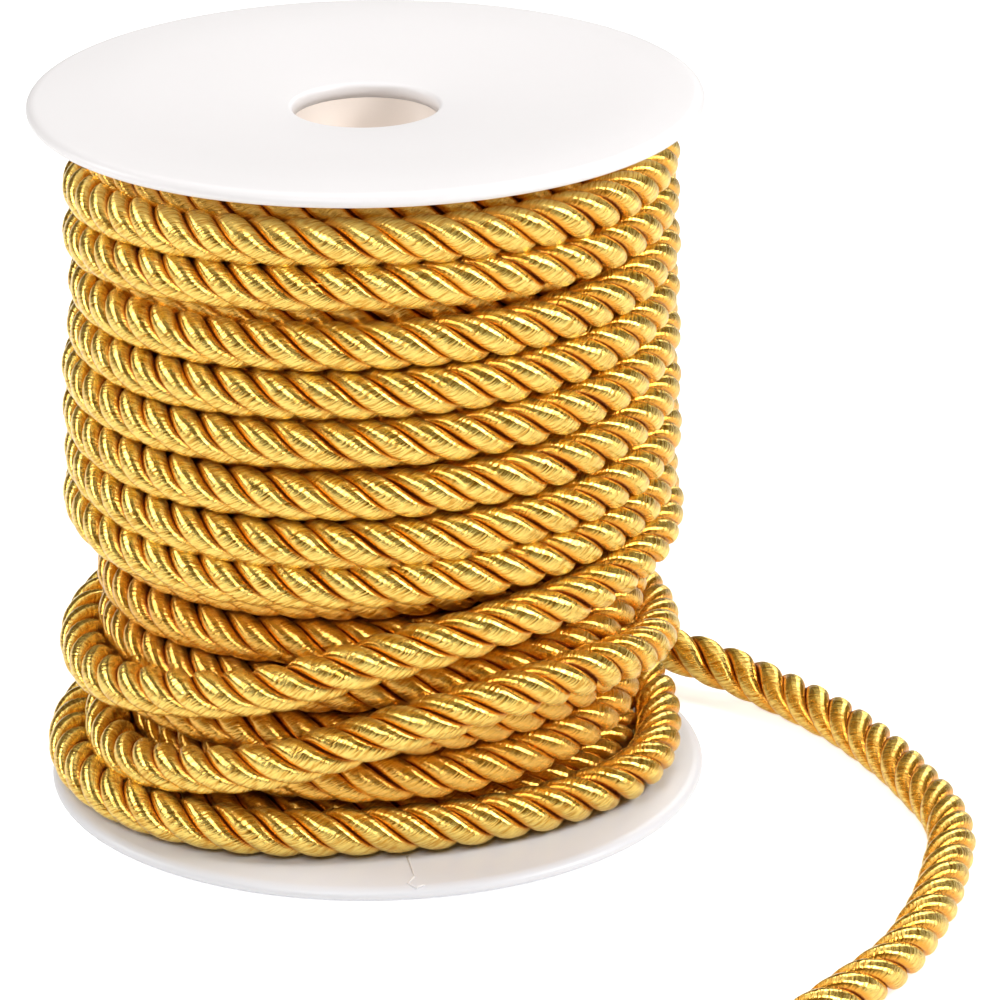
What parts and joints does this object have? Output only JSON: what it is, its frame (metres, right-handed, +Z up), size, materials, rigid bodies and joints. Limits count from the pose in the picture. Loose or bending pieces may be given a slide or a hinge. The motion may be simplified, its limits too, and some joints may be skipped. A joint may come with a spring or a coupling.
{
  "type": "twisted cord on a spool",
  "caption": "Satin twisted cord wound in close turns on a plain flanged spool with a bore through it, its loose end lying beside it.",
  "frame": {"origin": "centre of the spool's base, on the surface it stands on", "axes": "+Z up along the bore, -Y to the front, +X to the side where the loose end lies"},
  "size_m": [0.0943, 0.1061, 0.0738],
  "materials": {
    "cord": "satin",
    "spool": "satin"
  },
  "bodies": {
    "root": {"wound_cord": "cord", "loose_end": "cord", "flange_top": "spool", "flange_bottom": "spool", "core_tube": "spool"}
  },
  "joints": []
}
